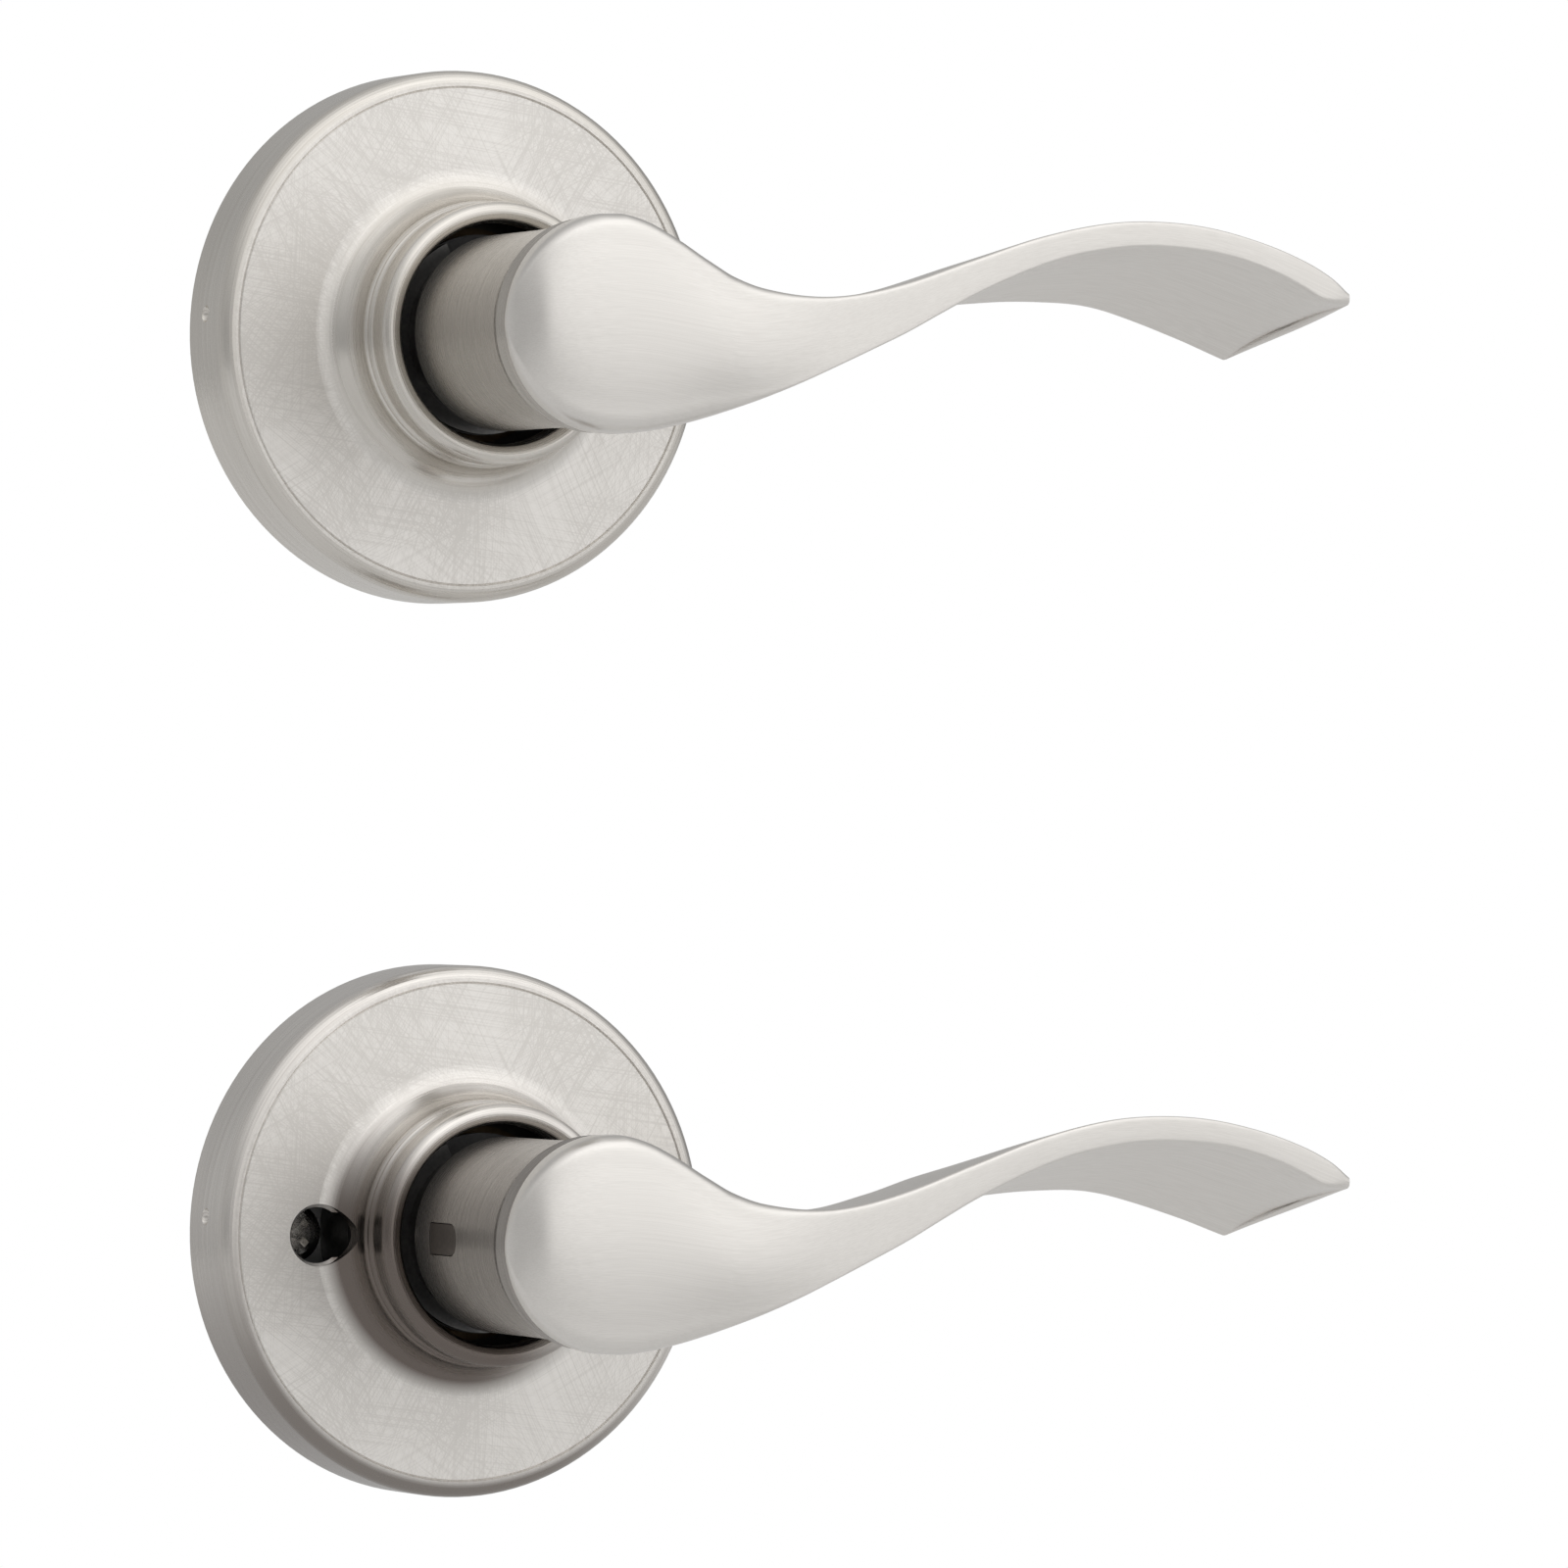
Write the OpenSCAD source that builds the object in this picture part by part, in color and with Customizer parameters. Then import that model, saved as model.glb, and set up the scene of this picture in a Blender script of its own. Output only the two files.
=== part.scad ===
// Pair of door lever handles, the outside one above the inside one. Both stand on the door
// face, y = 0, with their levers towards +X. The inside handle's axis is at the origin.

/* [Set] */
// Height of the outside handle's axis above the inside handle's axis
handle_spacing = 112; // [90:1:200]

/* [Rose] */
// Outer radius of the rose
rose_r = 33.3; // [31:0.1:40]
// Height of the flat face's edge above the door
rose_depth = 10.2; // [9.6:0.1:13]
// Thickness of the rose's sheet
rose_sheet = 1; // [0.6:0.1:1.2]
// Radius between the rim and the face
rim_round = 2; // [1.4:0.1:3]
// How far the face rises from its edge to the foot of the bell
face_crown = 0.4; // [0:0.1:0.8]
// Radius of the hollow curve from the face into the bell
bell_round = 4.6; // [3:0.1:5.4]
// Height of the bell's lip above the door
lip_height = 21.2; // [19.5:0.1:26]
// Radius of the rolled lip
lip_round = 1.3; // [1:0.1:1.6]
// Clear gap between the lip and the neck
lip_gap = 1.6; // [0.8:0.1:2.4]
// Radius of the screwdriver holes in the inside rose
access_hole_r = 3.5; // [3.2:0.1:3.9]
// Radius of the pressed dimples in the rim
dimple_r = 1.1; // [0.6:0.1:1.4]

/* [Lever] */
// Distance from the axis to the lever's tip
lever_length = 107; // [92:1:135]
// Outer radius of the lever's round head
head_r = 13.4; // [13:0.1:16.5]
// Height of the seam between neck and lever above the door
seam_height = 48.6; // [44:0.1:60]
// Height of the head's domed front above the seam
dome_height = 5.3; // [4:0.1:8]
// Outer radius of the neck where it leaves the rose
neck_r = 12.2; // [11.8:0.1:13]
// How far the lever's rear end corner lies back from its tip, along the lever
end_skew = 8.5; // [3:0.5:14]
// How far the lever's wave rises above the axis
wave_rise = 14.6; // [10:0.1:20]

/* [Mounting] */
// Distance between the two screws
screw_spacing = 41.3; // [40:0.1:45]
// Radius of the screws' shanks
screw_r = 2.08; // [1.6:0.01:2.6]
// Radius of the screws' heads
screw_head_r = 3.7; // [3:0.1:4]
// Length of the screws behind the door face's plane
screw_reach = 19; // [10:1:45]
// Radius of the outside handle's posts
post_r = 3.2; // [2.8:0.1:4]
// Length of the outside handle's posts behind its plate
post_reach = 16; // [12:1:35]
// Radius of the tapped hole in each post
post_tap_r = 1.7; // [1.3:0.05:2.1]
// Depth of the tapped hole in each post
post_tap_depth = 13; // [8:1:20]
// Width of the square spindle across its flats
spindle_w = 7.9; // [6:0.1:8.4]
// Length of the spindle behind the door face's plane
spindle_reach = 45; // [30:1:70]
// Thickness of the mounting plate
plate_t = 1.6; // [1.2:0.1:2]

/* [Mechanism] */
// Outer radius of the drive tube
tube_r = 10.5; // [10:0.05:10.6]
// Radial wall of the drive tube
tube_wall = 1.6; // [1.2:0.1:2]
// How far the drive tube reaches above the door
tube_height = 41; // [38:0.5:42]
// Outer radius of the return spring's cage
cage_r = 16.2; // [15.8:0.1:16.5]
// Thickness of the pressed cage, cam plate and retaining ring
press_t = 1; // [0.8:0.1:1.2]
// Wire radius of the return spring
wire_r = 0.6; // [0.4:0.05:0.7]
// Turns of the return spring
spring_turns = 3; // [2:1:3]
// Downward turn of the lever from level
lever_swing = 45; // [20:1:50]
// Length of the lever catch along the neck
catch_length = 7.4; // [5:0.1:9]
// Width of the lever catch round the neck
catch_width = 3.8; // [3:0.1:4.6]
// Height of the lever catch's middle above the door
catch_height = 28.7; // [27:0.1:31]
// Inward travel of the lever catch
catch_travel = 1.7; // [1.6:0.05:2]
// Radius of the cage's rivets
rivet_r = 1.2; // [0.8:0.05:1.5]

/* [Clearances] */
// Radial clearance of the drive tube in its bush
running_fit = 0.05; // [0.02:0.01:0.1]
// Clearance of pieces that slide together by hand
slide_fit = 0.12; // [0.08:0.01:0.2]
// Clearance of pieces that are fixed together
seat_fit = 0.03; // [0.02:0.01:0.06]
// Gap kept between a moving piece and a fixed one
free_gap = 0.4; // [0.3:0.05:0.5]

/* [Hidden] */
$fn = 96;
eps = 0.01;
// Longer than anything that a cut has to pass through
far = 200;

// Rose: radii of the bell and lip, and heights of the face
lip_inner_r = neck_r + lip_gap;
lip_centre_r = lip_inner_r + lip_round;
lip_centre_z = lip_height - lip_round;
lip_outer_r = lip_centre_r + lip_round;
collar_r = lip_outer_r + 0.3;
collar_round = 0.7;
foot_z = rose_depth + face_crown;
flank_z = foot_z + bell_round;
valley_z = (flank_z + lip_centre_z) / 2 - 0.5;
valley_round = (lip_centre_z - flank_z) * 0.23;
lip_skirt = 2.3;
dimple_sink = 0.75;
hole_chamfer = 0.4;
// Crease where the rim's rounding meets the flat face
crease_depth = 0.15;
crease_r = rose_r - rim_round - crease_depth;
dimple_z = 4.6;
dimple_angles = [176, 296, 56];

// Mounting plate: it fills the rose, and the dimples grip its rim
plate_r = rose_r - rose_sheet - slide_fit;
plate_rim_h = rose_depth - rim_round - 1.4;
plate_rim_t = 1;
plate_hole_r = tube_r + tube_wall * 0.5 + free_gap;
screw_x = screw_spacing / 2;

// Return spring's coil, which sets the height of its cage
cam_z = plate_t + free_gap;
cam_top = cam_z + press_t;
coil_r = tube_r + 1.4;
coil_pitch = 2 * wire_r + 0.1;
coil_z = cam_top + free_gap + wire_r;
coil_top = coil_z + spring_turns * coil_pitch;

// Spring cage and its rivets
cage_top = coil_top + wire_r + 0.3 + press_t;
cage_inner_r = cage_r - press_t;
ear_r = 2.9;
ear_place_r = cage_r + ear_r + 0.2;
rivet_head_r = rivet_r + 0.9;
rivet_head_h = 0.9;
rivet_angles = [45, 135, 225, 315];

// Stack of pieces on the drive tube, from the door outwards
tube_start = 0.4;
tube_flange_r = plate_hole_r - free_gap;
bush_r = tube_r + 1.4;
bush_flange_r = bush_r + 1.6;
bush_flange_t = 1;
bush_top = cage_top + 3.8;
axial_play = 0.1;
washer_z = bush_top + axial_play;
washer_t = 0.6;
washer_r = bush_r + 0.6;
ring_z = washer_z + washer_t + axial_play;
ring_t = press_t;
ring_r = tube_r + 1.9;
ring_groove = 0.5;
ring_opening = 50;
web_top = 10;

// Fingers that the return spring's legs bear on, and stops for the cam plate's ear
finger_half = 1.2;
leg_offset = finger_half + wire_r + 0.1;
leg_end_r = cage_inner_r - 0.5;
cam_finger_in = coil_r + wire_r + 0.25;
cam_finger_out = cam_finger_in + 0.9;
cage_finger_in = cam_finger_out + 0.3;
finger_top = cage_top - press_t - free_gap;
cam_ear_half = 20;
stop_margin = 2.5;
stop_width = 9;
level_stop = 90 + cam_ear_half + stop_margin + stop_width / 2;
swing_stop = 90 - cam_ear_half - lever_swing - stop_margin - stop_width / 2;

// Neck and the drive tube's front end
neck_start = max(ring_z + ring_t + 0.8, lip_height - 0.8);
neck_bore_r = tube_r + slide_fit;
neck_bore_top = tube_height + 0.6;
neck_flare_start = seam_height - 18;
neck_flare_z = seam_height - 4.8;
neck_flare_r = neck_r + 0.35;
neck_ring_z = seam_height - 3;
neck_ring_r = head_r - 0.25;
seam_groove_z = seam_height - 0.8;
seam_groove_r = head_r - 1.2;
spigot_r = 9;
spigot_h = 2;
tube_end_t = 1.6;
tongue_w = 12;
tongue_t = 4;
tongue_h = 3.4;

// Lever catch and its spring
tube_inner_r = tube_r - tube_wall;
catch_out_r = neck_r - 0.05;
shoe_t = 1;
shoe_out_r = tube_inner_r - 1.1;
shoe_in_r = shoe_out_r - shoe_t;
shoe_side = 0.9;
catch_wire_r = 0.25;
catch_coil_r = 1.6;
catch_turns = 5;
seat_x = shoe_in_r - catch_travel - 2 * catch_wire_r * (catch_turns + 1) - 0.1;
seat_t = 1.5;

// Screws, posts and spindle
screw_head_h = 2.5;
screw_hole_r = screw_r + 0.3;
cross_w = 0.9;
cross_l = 4.2;
cross_depth = 1.5;
post_head_r = post_r + 1.1;
post_head_h = 1;
spindle_in = web_top - 1;
spindle_chamfer = 1;

// Lever: lines along it, as [share of its length, height above the axis]. Its crest is at
// 1 in the last column, and is multiplied by the wave's rise.
TOP_LINE = [
    [0.15, 0.418], [0.187, 0.322], [0.243, 0.264], [0.30, 0.281], [0.374, 0.397],
    [0.467, 0.616], [0.56, 0.829], [0.654, 0.969], [0.73, 1], [0.804, 0.959],
    [0.879, 0.842], [0.935, 0.705], [0.972, 0.575], [1, 0.43]
];
LOW_LINE = [
    [0.15, -0.699], [0.187, -0.603], [0.234, -0.466], [0.28, -0.325], [0.327, -0.178],
    [0.374, -0.027], [0.421, 0.144], [0.467, 0.308], [0.514, 0.452], [0.56, 0.575],
    [0.607, 0.671], [0.654, 0.733], [0.70, 0.767], [0.748, 0.767], [0.804, 0.733],
    [0.85, 0.671], [0.897, 0.568], [0.935, 0.452], [0.963, 0.356], [1, 0.336]
];
REAR_TOP_LINE = [
    [0.15, 0.40], [0.187, 0.308], [0.28, 0.233], [0.374, 0.342], [0.467, 0.50],
    [0.56, 0.56], [0.654, 0.548], [0.748, 0.452], [0.841, 0.295], [0.916, 0.144],
    [0.972, 0.021], [1, -0.048]
];
REAR_LOW_LINE = [
    [0.15, -0.66], [0.224, -0.404], [0.30, -0.164], [0.374, 0.041], [0.467, 0.219],
    [0.56, 0.288], [0.654, 0.308], [0.748, 0.288], [0.841, 0.185], [0.935, 0.027],
    [1, -0.13]
];
// Lines in depth, as [share of the lever's length, height above the seam]
FRONT_DEPTH = [
    [0.075, 1], [0.15, 1.01], [0.28, 0.87], [0.467, 0.55], [0.654, 0.2], [0.841, -0.15],
    [0.98, -0.42], [1, -0.5]
];
REAR_DEPTH = [
    [0.224, -3], [0.30, -5.6], [0.374, -8], [0.467, -10.7],
    [0.56, -13], [0.654, -15], [0.748, -16.8], [0.841, -18.4], [0.935, -19.9], [1, -20.6]
];
HEAD_STEPS = 15;
ARM_PITCH = 2.9;
ARM_STEPS = ceil(lever_length / ARM_PITCH);
CORNER_STEPS = 3;

// Smooth curve through knots [x, y]
function tangent(k, i) =
    let (a = max(i - 1, 0), b = min(i + 1, len(k) - 1))
    (k[b][1] - k[a][1]) / (k[b][0] - k[a][0]);
function span_of(k, x, i = 0) = i >= len(k) - 2 || x <= k[i + 1][0] ? i : span_of(k, x, i + 1);
function curve(k, x) =
    let (i = span_of(k, x), w = k[i + 1][0] - k[i][0], t = (x - k[i][0]) / w)
    (2 * t ^ 3 - 3 * t ^ 2 + 1) * k[i][1] + (t ^ 3 - 2 * t ^ 2 + t) * w * tangent(k, i)
    + (3 * t ^ 2 - 2 * t ^ 3) * k[i + 1][1] + (t ^ 3 - t ^ 2) * w * tangent(k, i + 1);
function ease(t) = let (c = min(max(t, 0), 1)) c * c * (3 - 2 * c);
function scaled(k, height, rise = 0) =
    [for (p = k) [p[0] * lever_length, p[1] * height + rise]];
function round_end(side) = [
    for (q = [[-0.3, 0.954], [0, 1], [0.3, side > 0 ? 0.935 : 0.98],
              [0.6, side > 0 ? 0.79 : 0.925], [0.9, side > 0 ? 0.61 : 0.85]])
    [q[0] * head_r, side * q[1] * head_r]
];
rear_start = head_r + 0.3;
top_knots = concat(round_end(1), scaled(TOP_LINE, wave_rise));
low_knots = concat(round_end(-1), scaled(LOW_LINE, wave_rise));
rear_top_knots = concat(round_end(1), scaled(REAR_TOP_LINE, wave_rise));
rear_low_knots = concat(round_end(-1), scaled(REAR_LOW_LINE, wave_rise));
front_knots = scaled(FRONT_DEPTH, dome_height, seam_height);
rear_knots = concat([[rear_start, seam_height]], scaled(REAR_DEPTH, 1, seam_height));

// Lever sections: each is a four-cornered outline with rounded corners, given as [y, z]
function head_chord(x) = sqrt(max(head_r ^ 2 - x ^ 2, 0));
function edge_height(knots, side, x) = x < 0 ? side * head_chord(x) : curve(knots, x);
function front_z(x) =
    let (crest = 0.6 * head_r, t = max(crest - x, 0) / (crest + head_r))
    x < crest ? seam_height + 0.2 + (dome_height - 0.2) * sqrt(max(1 - t ^ 3.4, 0))
              : curve(front_knots, x);
function rear_z(x) = x < rear_start ? seam_height : curve(rear_knots, x);
function corner(a, c, b, r) =
    let (u = a - c, v = b - c,
         m = min(r, 0.45 * norm(u), 0.45 * norm(v)),
         p = c + u / norm(u) * m, q = c + v / norm(v) * m)
    [for (i = [0:CORNER_STEPS])
        let (t = i / CORNER_STEPS) (1 - t) ^ 2 * p + 2 * t * (1 - t) * c + t ^ 2 * q];
function between(c1, c2, bow, shares) =
    let (a = c1[CORNER_STEPS], d = c2[0] - a, n = [d[1], -d[0]] / norm(d))
    [for (t = shares) a + d * t + n * bow * 4 * t * (1 - t)];
function section(x) =
    let (blade = ease((x / lever_length - 0.35) / 0.25),
         tip = ease((x / lever_length - 0.94) / 0.06),
         ft = [edge_height(top_knots, 1, x), front_z(x)],
         fb = [edge_height(low_knots, -1, x), front_z(x)],
         rb = [edge_height(rear_low_knots, -1, x), rear_z(x)],
         rt = [edge_height(rear_top_knots, 1, x), rear_z(x)],
         crown = 0.02 + 0.88 * ease((ft[0] - fb[0]) / head_r - 0.5),
         top_r = 3.6 * (1 - ease(x / lever_length / 0.3)) + 0.7,
         low_r = 3.6 * (1 - ease(x / lever_length / 0.25)) + 0.3 + 0.3 * tip,
         rear_r = 0.5 + 0.4 * blade,
         front_low = corner(ft, fb, rb, low_r), rear_low = corner(fb, rb, rt, rear_r),
         rear_top = corner(rb, rt, ft, rear_r), front_top = corner(rt, ft, fb, top_r))
    concat(
        between(front_top, front_low, crown, [1 / 2]), front_low,
        between(front_low, rear_low, -0.7 * blade, [1 / 3, 2 / 3]), rear_low,
        between(rear_low, rear_top, -0.02, [1 / 2]), rear_top,
        between(rear_top, front_top, 0.5 * blade, [1 / 3, 2 / 3]), front_top
    );
function station(x) =
    let (s = section(x), zf = front_z(x), zr = rear_z(x), share = x / lever_length,
         skew = end_skew * ease((share - 0.52) / 0.48), bulge = 2.6 * ease((share - 0.88) / 0.12))
    [for (p = s)
        let (d = min(max((zf - p[1]) / (zf - zr), 0), 1))
        [x - skew * d + bulge * sin(180 * d), p[0], p[1]]];
stations = concat(
    [for (i = [0:HEAD_STEPS - 1]) -head_r * cos(1.5 + 80 * i / (HEAD_STEPS - 1))],
    [for (i = [1:ARM_STEPS])
        let (t = i / ARM_STEPS) lever_length * (0.82 * t + 0.18 * sin(90 * t))]
);

// Closed skin over rings of equal length
module skin(rings) {
    n = len(rings[0]);
    last = (len(rings) - 1) * n;
    polyhedron(
        points = [for (r = rings) each r],
        faces = concat(
            [for (k = [0:len(rings) - 2], i = [0:n - 1])
                let (a = k * n + i, b = k * n + (i + 1) % n) each [[a, a + n, b], [b, a + n, b + n]]],
            [for (i = [0:n / 2 - 1])
                let (j = (n - i) % n, k = (n - i - 1) % n)
                each i == 0 ? [[0, 1, k]] : i == n / 2 - 1 ? [[i, i + 1, j]]
                            : [[i, i + 1, j], [j, i + 1, k]]],
            [for (i = [0:n / 2 - 1])
                let (j = (n - i) % n, k = (n - i - 1) % n)
                each i == 0 ? [[last + 1, last, last + k]]
                            : i == n / 2 - 1 ? [[last + i + 1, last + i, last + j]]
                            : [[last + i + 1, last + i, last + j], [last + i + 1, last + j, last + k]]]
        )
    );
}

// Round wire along a path
function unit(v) = v / norm(v);
function wire_ring(path, i, r, sides) =
    let (a = path[max(i - 1, 0)], b = path[min(i + 1, len(path) - 1)], d = unit(b - a),
         u = unit(cross(abs(d[2]) < 0.9 ? [0, 0, 1] : [1, 0, 0], d)), v = cross(d, u))
    [for (j = [0:sides - 1])
        path[i] + r * (cos(360 * j / sides) * u + sin(360 * j / sides) * v)];
module wire(path, r, sides) {
    skin([for (i = [0:len(path) - 1]) wire_ring(path, i, r, sides)]);
}

// Points of an arc from one angle to another
function arc(cx, cy, r, from, to, steps) =
    [for (i = [0:steps]) let (a = from + (to - from) * i / steps) [cx + r * cos(a), cy + r * sin(a)]];

// Place a handle's pieces: local z is the way out of the door, local x is along the lever
module inside_handle() {
    rotate([90, 0, 0]) children();
}
module outside_handle() {
    translate([0, 0, handle_spacing]) rotate([90, 0, 0]) children();
}
module disc(r, z0, z1) {
    translate([0, 0, z0]) cylinder(r = r, h = z1 - z0);
}
module ring(r_out, r_in, z0, z1) {
    difference() {
        disc(r_out, z0, z1);
        disc(r_in, z0 - 1, z1 + 1);
    }
}
// Part of a ring, centred on an angle
module ring_sector(r_out, r_in, z0, z1, middle, half) {
    intersection() {
        ring(r_out, r_in, z0, z1);
        rotate([0, 0, middle]) translate([0, 0, z0 - 1]) linear_extrude(z1 - z0 + 2)
            polygon([[0, 0], [far * cos(half), -far * sin(half)], [far * cos(half), far * sin(half)]]);
    }
}
module both_sides() {
    for (side = [-1, 1]) translate([side * screw_x, 0, 0]) children();
}

// Rose: rim, face, bell and rolled lip from one sheet
function rose_outside() = concat(
    [[rose_r, 0]],
    arc(rose_r - rim_round, rose_depth - rim_round, rim_round, 0, 90, 8),
    [[crease_r, rose_depth - crease_depth], [crease_r - crease_depth, rose_depth]],
    arc(collar_r + bell_round, flank_z, bell_round, 270, 180, 18),
    arc(collar_r - collar_round, flank_z + 0.2, collar_round, 0, 55, 4),
    arc(lip_outer_r + valley_round * 0.6, valley_z, valley_round, 230, 130, 10),
    arc(lip_centre_r, lip_centre_z, lip_round, 0, 180, 16),
    [[lip_inner_r, lip_centre_z - lip_skirt]]
);
function rose_inside() = concat(
    [[lip_inner_r + rose_sheet * 0.8, lip_centre_z - lip_skirt],
     [lip_inner_r + rose_sheet * 0.8, lip_centre_z],
     [lip_outer_r - rose_sheet, lip_centre_z],
     [lip_outer_r - rose_sheet, flank_z]],
    arc(collar_r + bell_round, flank_z, bell_round + rose_sheet, 180, 270, 10),
    arc(rose_r - rim_round, rose_depth - rim_round, rim_round - rose_sheet, 90, 0, 6),
    [[rose_r - rose_sheet, 0]]
);
module rose(open) {
    color("silver") difference() {
        rotate_extrude() polygon(concat(rose_outside(), rose_inside()));
        for (a = dimple_angles)
            rotate([0, 0, a]) translate([rose_r + dimple_r - dimple_sink, 0, dimple_z])
                sphere(r = dimple_r);
        if (open) both_sides() {
            disc(access_hole_r, rose_depth - 4, rose_depth + 1);
            translate([0, 0, rose_depth]) cylinder(
                r1 = access_hole_r, r2 = access_hole_r + hole_chamfer, h = hole_chamfer);
            disc(access_hole_r + hole_chamfer, rose_depth + hole_chamfer, flank_z + 1.6);
        }
    }
}

// Mounting plate with an upturned rim inside the rose
module mounting_plate(hole_r) {
    color("gray") difference() {
        union() {
            disc(plate_r, 0, plate_t);
            ring(plate_r, plate_r - plate_rim_t, plate_t - eps, plate_rim_h);
        }
        disc(plate_hole_r, -1, plate_t + 1);
        both_sides() disc(hole_r, -1, plate_t + 1);
        for (a = rivet_angles)
            rotate([0, 0, a]) translate([ear_place_r, 0, 0]) disc(rivet_r + seat_fit, -1, plate_t + 1);
    }
}

// Cup over the return spring, with ears for its rivets and stops for the spring and cam
module spring_cage() {
    color("darkgray") difference() {
        union() {
            ring(cage_r, cage_inner_r, plate_t, cage_top);
            disc(cage_r, cage_top - press_t, cage_top);
            for (a = rivet_angles) rotate([0, 0, a]) {
                translate([ear_place_r, 0, 0]) disc(ear_r, plate_t, plate_t + press_t);
                translate([cage_r - press_t / 2, -ear_r, plate_t])
                    cube([ear_place_r - cage_r + press_t / 2, 2 * ear_r, press_t]);
            }
            translate([-finger_half, -cage_inner_r - press_t / 2, cam_top + free_gap])
                cube([2 * finger_half, cage_inner_r + press_t / 2 - cage_finger_in,
                      cage_top - cam_top - free_gap - press_t / 2]);
            for (a = [level_stop, swing_stop])
                ring_sector(cage_inner_r + press_t / 2, cam_finger_out + 0.3, plate_t,
                            cam_top + 0.3, a, stop_width / 2);
        }
        disc(bush_r + seat_fit, cage_top - press_t - 1, cage_top + 1);
        for (a = rivet_angles)
            rotate([0, 0, a]) translate([ear_place_r, 0, 0])
                disc(rivet_r + seat_fit, plate_t - 1, plate_t + press_t + 1);
    }
}
module cage_rivets() {
    head_z = plate_t + press_t;
    color("lightgray") for (a = rivet_angles)
        rotate([0, 0, a]) translate([ear_place_r, 0, 0]) rotate_extrude() polygon(concat(
            [[0, 0], [rivet_r, 0], [rivet_r, head_z], [rivet_head_r, head_z]],
            [for (i = [1:5]) let (t = 18 * i) [rivet_head_r * cos(t), head_z + rivet_head_h * sin(t)]]
        ));
}

// Return spring: a close coil whose two legs stand outwards beside the fingers
function spring_path() =
    let (gap = asin(leg_offset / coil_r), sweep = 360 * spring_turns - 2 * gap,
         steps = 26 * spring_turns, bend = 1.1)
    concat(
        [[leg_offset, -leg_end_r, coil_z], [leg_offset, -coil_r - bend, coil_z]],
        [for (i = [0:steps]) let (a = 270 + gap + (i == 0 ? 3 : i == steps ? -3 : 0)
            + sweep * i / steps) [coil_r * cos(a), coil_r * sin(a), coil_z
            + (coil_top - coil_z) * i / steps]],
        [[-leg_offset, -coil_r - bend, coil_top], [-leg_offset, -leg_end_r, coil_top]]
    );
module return_spring() {
    color("dimgray") wire(spring_path(), wire_r, 8);
}

// Flanged bush in the cage, where the drive tube turns
module hub_bush() {
    color("goldenrod") difference() {
        union() {
            disc(bush_r, cage_top - press_t, bush_top);
            disc(bush_flange_r, cage_top, cage_top + bush_flange_t);
        }
        disc(tube_r + running_fit, 0, bush_top + 1);
    }
}
module thrust_washer() {
    color("ivory") ring(washer_r, tube_r + slide_fit, washer_z, washer_z + washer_t);
}
// Open ring in the drive tube's groove
module retaining_ring() {
    color("gray") difference() {
        ring(ring_r, tube_r - ring_groove + seat_fit, ring_z, ring_z + ring_t);
        ring_sector(ring_r + 1, tube_r - 2, ring_z - 1, ring_z + ring_t + 1, 90, ring_opening / 2);
    }
}
// Plate on the drive tube that carries the spring's finger and the stop ear
module cam_plate() {
    color("darkgray") {
        difference() {
            union() {
                disc(cam_finger_out, cam_z, cam_top);
                ring_sector(cage_inner_r - free_gap, cam_finger_out - 1, cam_z, cam_top, 90, cam_ear_half);
                intersection() {
                    ring(cam_finger_out, cam_finger_in, cam_z, finger_top);
                    translate([-finger_half, -far, 0]) cube([2 * finger_half, far, far]);
                }
            }
            disc(tube_r + seat_fit, 0, far);
        }
    }
}

// Outline of the catch, seen along its travel: x is along the neck, y is round it
module catch_outline(extra) {
    r = catch_width / 2;
    translate([catch_length / 2 - r, 0]) circle(r = r + extra);
    translate([-catch_length / 2 - extra, -r - extra])
        square([catch_length - r + extra, catch_width + 2 * extra]);
}
// A piece of the catch between two radii, on the side that is given
module catch_block(side, r_in, r_out, extra = 0) {
    rotate([0, 0, side > 0 ? 0 : 180]) translate([r_in, 0, catch_height]) rotate([0, 90, 0])
        rotate([0, 0, 180]) linear_extrude(r_out - r_in) catch_outline(extra);
}
module lever_catch(side) {
    color("dimgray") {
        intersection() {
            catch_block(side, shoe_out_r - eps, neck_r + 1);
            disc(catch_out_r, 0, far);
        }
        catch_block(side, shoe_in_r, shoe_out_r, shoe_side);
    }
}
module catch_spring(side) {
    start = seat_x + catch_wire_r;
    end = shoe_in_r - catch_wire_r;
    steps = 12 * catch_turns;
    color("dimgray") translate([0, 0, catch_height]) rotate([0, 0, side > 0 ? 0 : 180])
        wire([for (i = [0:steps]) [start + (end - start) * i / steps,
              catch_coil_r * cos(30 * i), catch_coil_r * sin(30 * i)]], catch_wire_r, 6);
}

// Drive tube: square socket behind, window for the catch, seat wall and end tongue
module drive_tube(side) {
    color("darkgray") {
        difference() {
            union() {
                disc(tube_r, tube_start, tube_height);
                disc(tube_flange_r, tube_start, cam_z);
            }
            disc(tube_inner_r, web_top, tube_height - tube_end_t);
            translate([-spindle_w / 2 - slide_fit, -spindle_w / 2 - slide_fit, 0])
                cube([spindle_w + 2 * slide_fit, spindle_w + 2 * slide_fit, web_top + 1]);
            ring(tube_r + 1, tube_r - ring_groove, ring_z - seat_fit, ring_z + ring_t + seat_fit);
            catch_block(side, shoe_in_r, tube_r + 1, slide_fit);
        }
        translate([-tongue_w / 2, -tongue_t / 2, tube_height - eps])
            cube([tongue_w, tongue_t, tongue_h]);
        intersection() {
            disc(tube_inner_r + eps, web_top - eps, tube_height - tube_end_t + eps);
            translate([side > 0 ? seat_x - seat_t : -seat_x, -far / 2, 0]) cube([seat_t, far, far]);
        }
    }
}

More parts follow.
